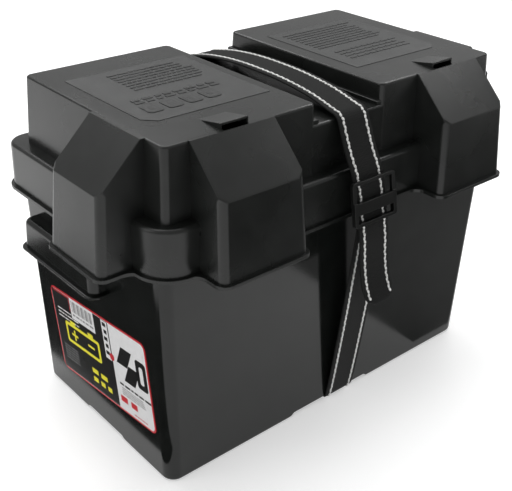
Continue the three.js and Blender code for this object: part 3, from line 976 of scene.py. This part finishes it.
def patch(ink, low, high, level, round_by=0, thick=PRINT_THICK, lean=0.0):
    """A thin slab between two corners of a sheet in millimetres, at a level above it."""
    middle = ((low[0] + high[0]) / 2000, (low[1] + high[1]) / 2000, level / 1000)
    flat = flat_sheet("patch", middle, (high[0] - low[0]) / 1000, (high[1] - low[1]) / 1000)
    if lean:
        choose(flat, "VERT", lambda v: v.co.y > middle[1])
        bpy.ops.transform.translate(value=(lean / 1000, 0, 0))
        done()
    if round_by:
        choose(flat, "VERT", lambda v: True)
        bpy.ops.mesh.bevel(offset=round_by / 1000, segments=6, affect="VERTICES")
        done()
    choose(flat, "FACE", lambda face: True)
    extrude(0, 0, thick)
    face_outwards()
    patches.setdefault(ink, []).append(flat)
    return flat


def bars(ink, left, top, widths, height, pitch, level, thick=PRINT_THICK):
    """Rows of short bars, like lines of small print. Each row is a list of word widths."""
    for row, words in enumerate(widths):
        at = left
        for word in words:
            y = top - row * pitch
            patch(ink, (at, y - height), (at + word, y), level, thick=thick)
            at += word + height * 0.9


def gather(name):
    """Join the patches made so far into one object, one material slot for each ink."""
    pieces = []
    for ink, flats in patches.items():
        for flat in flats:
            flat.data.materials.append(ink)
            pieces.append(flat)
    patches.clear()
    clear_selection()
    for piece in pieces:
        piece.select_set(True)
    bpy.context.view_layer.objects.active = pieces[0]
    bpy.ops.object.join()
    pieces[0].name = name
    return pieces[0]


def word_rows(count, seed, shortest, longest, line):
    """Rows of word widths that fill a line, varied by a small fixed formula."""
    rows = []
    for row in range(count):
        words, used = [], 0
        while used < line - longest:
            step = (seed * (row + 3) * (len(words) + 5)) % 7 / 6
            width = shortest + (longest - shortest) * step
            words.append(width)
            used += width + 1.2
        rows.append(words)
    return rows


# %% [markdown]
# The inks are film with a slight gloss, a little uneven where the ink is thick.

# %% Inks


def ink(name, colour):
    """Printed film of one colour, slightly uneven in tone and gloss."""
    made, tree, shader = material(name, colour, 0.3)
    speckle = noise(tree, 220, 5, object_coordinates(tree))
    thin = tuple(part * 0.86 for part in colour)
    tree.links.new(mix_colour(tree, speckle, thin, colour), shader.inputs["Base Color"])
    tree.links.new(ramp(tree, speckle, 0, 1, 0.22, 0.4), shader.inputs["Roughness"])
    return made


white_film = ink("white label film", (0.78, 0.78, 0.78))
red_ink = ink("red ink", (0.62, 0.02, 0.03))
black_ink = ink("black ink", (0.012, 0.012, 0.012))
yellow_ink = ink("yellow ink", (0.85, 0.78, 0.03))
grey_ink = ink("grey ink", (0.25, 0.25, 0.25))

# %% Print on the label
SPLIT = 90
patch(red_ink, (0, 0), (LABEL_LENGTH, LABEL_HEIGHT), 0, 6, thick=0.35)
patch(white_film, (1.6, 1.6), (LABEL_LENGTH - 1.6, LABEL_HEIGHT - 1.6), 0.39, 4.8)
patch(black_ink, (1.9, 1.9), (SPLIT, LABEL_HEIGHT - 1.9), 0.42, 1.2)
patch(red_ink, (5, 66), (30, LABEL_HEIGHT - 2.4), 0.435)
patch(black_ink, (5, 65), (29, LABEL_HEIGHT - 3.4), 0.445)
patch(white_film, (31, 60), (68, LABEL_HEIGHT - 1.9), 0.45)
for i in range(15):
    width = 0.8 + (i * 5 % 3) * 0.5
    patch(grey_ink, (33.5 + i * 2.15, 67), (33.5 + i * 2.15 + width, LABEL_HEIGHT - 4), 0.48)
bars(grey_ink, 33.5, 65, word_rows(1, 3, 2, 6, 32), 1.6, 3, 0.48)
patch(white_film, (80, 44), (88.6, LABEL_HEIGHT - 2.4), 0.45)
for i in range(5):
    patch(black_ink, (81.5 + i % 2, 48 + i * 6.4), (86.6, 51.4 + i * 6.4), 0.48)
bars(white_film, 8, 63, word_rows(3, 5, 3, 9, 40), 1.1, 3.6, 0.46)
# a battery symbol: case, posts, plus and minus
patch(yellow_ink, (17, 33), (71, 53), 0.46, 2.4)
patch(black_ink, (20, 36), (68, 50), 0.49, 1.2)
for post in (26, 54):
    patch(yellow_ink, (post, 52), (post + 8, 56), 0.47, 0.8)
patch(yellow_ink, (26, 41.9), (36, 44.1), 0.51)
patch(yellow_ink, (29.9, 38), (32.1, 48), 0.52)
patch(yellow_ink, (52, 41.9), (62, 44.1), 0.51)
bars(grey_ink, 8, 27, word_rows(6, 4, 2, 6, 30), 0.9, 2.6, 0.46)
bars(yellow_ink, 52, 22, word_rows(2, 5, 6, 10, 27), 4.6, 8.4, 0.46)
# the right field: a black spark shape, print and red bars
patch(red_ink, (SPLIT - 3.6, 45), (SPLIT + 2.6, 51.4), 0.52, 2.8)
patch(black_ink, (96, 47), (111, 64), 0.46, 0, lean=9)
patch(black_ink, (104, 33), (119, 50), 0.46, 0, lean=9)
patch(black_ink, (124, 36), (138, 62), 0.46, 3)
patch(white_film, (128.5, 41), (133.5, 57), 0.49, 1.6)
bars(black_ink, 96, 28.5, word_rows(1, 3, 3, 8, 44), 1.9, 3, 0.46)
bars(grey_ink, 98, 24.5, word_rows(4, 5, 2, 7, 40), 0.8, 1.9, 0.46)
bars(red_ink, 94, 15.6, word_rows(1, 2, 8, 13, 28), 5.6, 6, 0.46)
bars(red_ink, 112, 5.2, word_rows(1, 4, 2, 4, 24), 0.9, 2, 0.46)
label = gather("end_label_film")

# %% [markdown]
# The sheet is now flat at the world's origin. One matrix lays it on the end wall: along the box,
# up the wall's slope, and turned by its tilt. The move is applied, so the finished piece sits at
# the origin like every other.

# %% Lay the label on the wall
LABEL_Y, LABEL_Z, LABEL_TILT = -4.6, 74.4, 6
along_wall = Vector((0, -1, 0))
up_wall = Vector((FOOT_X - RIM_X, 0, RIM_Z)).normalized()
tilt = math.radians(LABEL_TILT)
label_u = along_wall * math.cos(tilt) + up_wall * math.sin(tilt)
label_v = up_wall * math.cos(tilt) - along_wall * math.sin(tilt)
label_out = label_u.cross(label_v)
wall_x = FOOT_X + (RIM_X - FOOT_X) * LABEL_Z / RIM_Z
corner = mm(-wall_x - 0.1, LABEL_Y, LABEL_Z)
corner -= (label_u * LABEL_LENGTH + label_v * LABEL_HEIGHT) / 2000
facing = Matrix((label_u, label_v, label_out)).transposed().to_4x4()
label.matrix_world = Matrix.Translation(corner) @ facing
only(label)
settle()
print("label:", len(label.data.polygons), "faces")

# %% [markdown]
# Each half of the lid has a shallow panel moulded into its top, slightly raised, with rows of
# raised marks. They're generic: rounded frames and rows of bars.

# %% Plateau panels
PANEL_RISE = 0.3
PANEL_Y = (-51, 58)
PANEL_CHAMFER = 0.009


def plateau_panel(x_low, x_high, chamfer_near, name):
    """One raised panel with its rows of marks, on the plateau."""
    panel_width, panel_depth = x_high - x_low, PANEL_Y[1] - PANEL_Y[0]
    sheet = patch(panel_plastic, (0, 0), (panel_width, panel_depth), 0, thick=PANEL_RISE)
    choose(sheet, "EDGE", lambda e: is_upright(e) and e.verts[0].co.y < 0.001
           and (e.verts[0].co.x < 0.001) == chamfer_near)
    bpy.ops.mesh.bevel(offset=PANEL_CHAMFER, segments=1, affect="EDGES")
    done()
    mark = PANEL_RISE + 0.02
    if chamfer_near:
        for i in range(4):
            x = 12 + i * 17
            patch(mark_plastic, (x, 14), (x + 13, 31), mark, 3.5, thick=0.35)
            patch(panel_plastic, (x + 2, 16), (x + 11, 29), mark + 0.36, 2, thick=0.02)
            patch(mark_plastic, (x + 4.4, 19), (x + 8.6, 26), mark + 0.39, 1.5, thick=0.05)
        bars(mark_plastic, 14, 43, word_rows(2, 3, 4, 9, 70), 3.4, 5.4, mark, thick=0.3)
        bars(mark_plastic, 30, 99, word_rows(8, 5, 3, 9, 68), 1.7, 5.4, mark, thick=0.3)
    else:
        bars(mark_plastic, 10, 100, word_rows(9, 4, 3, 9, 80), 1.7, 5.6, mark, thick=0.3)
        bars(mark_plastic, 14, 40, word_rows(4, 5, 4, 8, 70), 2.2, 6.2, mark, thick=0.3)
    panel = gather(name)
    panel.location = mm(x_low, PANEL_Y[0], PLATEAU_Z - 0.02)
    only(panel)
    settle()
    return panel


# %% [markdown]
# The tub is the glossiest moulding, the lid is satin with a finer grain, and the panels on its top
# are rougher and a shade lighter. The buckle is nylon, a little darker.

# %% Black plastics


def moulded_plastic(name, base, rough_low, rough_high, grain_scale, grain_depth, gloss=0.5):
    """Moulded polypropylene: cloudy roughness, faint dust, and a fine grain."""
    made, tree, shader = material(name, base, rough_low)
    at = object_coordinates(tree)
    cloud = noise(tree, 9, 4, at)
    tree.links.new(ramp(tree, cloud, 0.35, 0.65, rough_low, rough_high), shader.inputs["Roughness"])
    dust = noise(tree, 60, 6, at)
    lighter = tuple(part * 1.4 + 0.001 for part in base)
    tree.links.new(mix_colour(tree, ramp(tree, dust, 0.42, 0.72, 0, 1), base, lighter),
                   shader.inputs["Base Color"])
    grain = noise(tree, grain_scale, 2, at)
    first = bump(tree, shader, grain, 0.35, grain_depth)
    wave = noise(tree, 14, 1, at)
    bump(tree, shader, wave, 0.12, 0.002, first)
    shader.inputs["Specular IOR Level"].default_value = gloss
    return made


tub_plastic = moulded_plastic("black semi gloss plastic", (0.006, 0.0068, 0.0062), 0.1, 0.18, 900,
                              0.00006, gloss=0.36)
lid_plastic = moulded_plastic("black satin plastic", (0.0075, 0.0083, 0.0076), 0.22, 0.32, 1300,
                              0.00015, gloss=0.42)
panel_plastic = moulded_plastic("panel plastic", (0.02, 0.021, 0.0205), 0.42, 0.52, 1000, 0.0003)
mark_plastic = moulded_plastic("mark plastic", (0.0055, 0.006, 0.0056), 0.26, 0.34, 1000, 0.0001)
buckle_plastic = moulded_plastic("black nylon", (0.004, 0.0043, 0.004), 0.25, 0.35, 1500, 0.00006,
                                 gloss=0.3)

# %% Make the panels
panels = [plateau_panel(-152, -44, True, "lid_panel_left"),
          plateau_panel(49, 150, False, "lid_panel_right")]
print("panels:", [len(panel.data.polygons) for panel in panels])

# %% [markdown]
# The webbing is a plain weave: short ribs across, in step with rows along. Two wave patterns on the
# UV map, one along and one across, make the raised yarns, and a little sheen lifts the black. The
# same yarn height also sets the colour: painted shade darkens the hollows between the yarns, and
# the raised tops are left lighter.

# %% Webbing and thread
YARN_ACROSS, YARN_ALONG = 1.3, 1.7
YARN_STAGGER = 1.4


def webbing_material():
    made, tree, shader = material("black webbing", (0.014, 0.014, 0.014), 0.85)
    uv = tree.nodes.new("ShaderNodeUVMap")
    uv.uv_map = lower_webbing.data.uv_layers[0].name
    split = tree.nodes.new("ShaderNodeSeparateXYZ")
    tree.links.new(uv.outputs["UV"], split.inputs["Vector"])

    def turns(source, pitch):
        """An angle that goes round once for each yarn."""
        return arithmetic(tree, "MULTIPLY", source, 1 / pitch * 2 * math.pi)

    across = arithmetic(tree, "SINE", turns(split.outputs["X"], YARN_ACROSS))
    stagger = arithmetic(tree, "MULTIPLY", across, YARN_STAGGER)
    along = arithmetic(tree, "SINE", arithmetic(tree, "ADD", turns(split.outputs["Y"], YARN_ALONG),
                                                stagger))
    height = ramp(tree, arithmetic(tree, "ADD", across, along), -2, 2, 0, 1)
    # painted shade: the colour follows the yarn height, near black in the hollows between yarns and
    # a lighter black on their raised tops
    tree.links.new(mix_colour(tree, height, (0.0025, 0.0026, 0.0025), (0.011, 0.0115, 0.011)),
                   shader.inputs["Base Color"])
    bump(tree, shader, height, 0.7, 0.0005)
    shader.inputs["Specular IOR Level"].default_value = 0.25
    shader.inputs["Sheen Weight"].default_value = 0.02
    shader.inputs["Sheen Roughness"].default_value = 0.5
    return made


def thread_material():
    made, tree, shader = material("white thread", (0.72, 0.72, 0.70), 0.8)
    at = object_coordinates(tree)
    fuzz = noise(tree, 700, 3, at)
    worn = ramp(tree, fuzz, 0.3, 0.7, 0, 1)
    tree.links.new(mix_colour(tree, worn, (0.5, 0.5, 0.49), (0.85, 0.85, 0.83)),
                   shader.inputs["Base Color"])
    bump(tree, shader, fuzz, 0.5, 0.0002)
    return made


def paint(obj, made):
    obj.data.materials.clear()
    obj.data.materials.append(made)


paint(tub, tub_plastic)
for grip in handles.values():
    paint(grip, tub_plastic)
paint(lid, lid_plastic)
black_webbing, white_thread = webbing_material(), thread_material()
for part, stitches in ((lower_webbing, lower_stitches), (upper_webbing, upper_stitches)):
    paint(part, black_webbing)
    paint(stitches, white_thread)
paint(buckle, buckle_plastic)

# %% [markdown]
# ## Riding on the frame
#
# Most finished pieces follow the body of the part they stand for. The webbing over the lid moves
# with the lid. The webbing round the tub crosses the joint where the lid lifts; its place is baked
# into its mesh, and it is attached to no body.

# %% Bodies
for piece, node, body, slot in (
        (tub, "battery_tub", "tub", "tub_plastic"),
        (handles["end_handle_left"], "end_handle_left", "tub", "tub_plastic"),
        (handles["end_handle_right"], "end_handle_right", "tub", "tub_plastic"),
        (lid, "lid_shell", "lid", "lid_plastic"),
        (label, "end_label", "tub", "label_paper"),
        (buckle, "buckle", "buckle", "buckle_plastic")):
    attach(piece, body)
    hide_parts(node)

for panel in panels:
    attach(panel, "lid")

for piece in (lower_webbing, lower_stitches):
    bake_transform(piece)
for piece in (upper_webbing, upper_stitches):
    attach(piece, "lid")
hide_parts("strap_lower_front", "strap_lower_rear", "strap_under_base")
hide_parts("strap_over_lid", "strap_upper_front", "strap_upper_rear", "strap_tail")

# %% [markdown]
# ## Floor, light and camera

# %% Floor
floor = flat_sheet("floor", (0, 0, 0), 12, 12)
floor_material, _, floor_shader = material("pale floor", (0.86, 0.86, 0.86), 0.9)
floor_shader.inputs["Emission Color"].default_value = (1, 1, 1, 1)
floor_shader.inputs["Emission Strength"].default_value = 0.42
paint(floor, floor_material)

# %% [markdown]
# Black plastic is drawn by what it reflects. Three cloths lie on the floor that only reflections
# see, so they leave no shade on it. A dark one in front turns the lid's front faces nearly black, a
# dark one at the left end does the same for the end wall, and a grey one by the front wall keeps
# it from mirroring the white floor. From other sides they show as dark patches low on the tub.

# %% Cloths for the reflections
dark_cloth = material("dark cloth", (0.01, 0.01, 0.01), 0.95)[0]
grey_cloth = material("grey cloth", (0.3, 0.3, 0.3), 0.95)[0]
for name, middle, size, cover in (("dark_cloth", (560, -790), (1.1, 0.85), dark_cloth),
                                  ("dark_strip", (-295, 115), (0.216, 0.47), dark_cloth),
                                  ("grey_strip", (480, -250), (0.72, 0.30), grey_cloth)):
    cloth = flat_sheet(name, mm(*middle, 2), *size)
    paint(cloth, cover)
    cloth.visible_camera = cloth.visible_diffuse = cloth.visible_shadow = False

# %% Light
world = bpy.data.worlds.new("studio")
bpy.context.scene.world = world
world.use_nodes = True
world.node_tree.nodes["Background"].inputs["Color"].default_value = (1, 1, 1, 1)
world.node_tree.nodes["Background"].inputs["Strength"].default_value = 0.5


def softbox(name, place, aim, size, power):
    clear_selection()
    direction = Vector(aim) - Vector(place)
    bpy.ops.object.light_add(type="AREA", location=place)
    lamp = bpy.context.object
    lamp.name = name
    lamp.rotation_mode = "QUATERNION"
    lamp.rotation_quaternion = direction.to_track_quat("-Z", "Y")
    lamp.data.shape = "RECTANGLE"
    lamp.data.size, lamp.data.size_y = size
    lamp.data.energy = power
    return lamp


softbox("top light", (0.1, 0.35, 1.5), (0, 0, 0.1), (1.5, 1.0), 12)
softbox("side light", (-1.4, 0.3, 1.0), (0, 0, 0.15), (0.8, 0.8), 3)
softbox("right edge light", (1.25, 0.15, 1.35), (0, 0, 0.25), (1.6, 0.22), 7)
softbox("back edge light", (0, 1.35, 1.4), (0, 0, 0.25), (1.6, 0.22), 6)

# %% Camera
AZIMUTH, ELEVATION, ROLL = (math.radians(a) for a in (-41.1, 29.0, 1.28))
away = Vector((math.sin(AZIMUTH) * math.cos(ELEVATION), -math.cos(AZIMUTH) * math.cos(ELEVATION),
               math.sin(ELEVATION)))
clear_selection()
bpy.ops.object.camera_add(location=mm(-462.8, -519.8, 498.6))
camera = bpy.context.object
turn = (-away).to_track_quat("-Z", "Y").to_matrix() @ Matrix.Rotation(ROLL, 3, "Z")
camera.rotation_euler = turn.to_euler()
camera.data.sensor_width = 36
camera.data.lens = 62.63
bpy.context.scene.camera = camera
bpy.context.scene.view_settings.view_transform = "Standard"
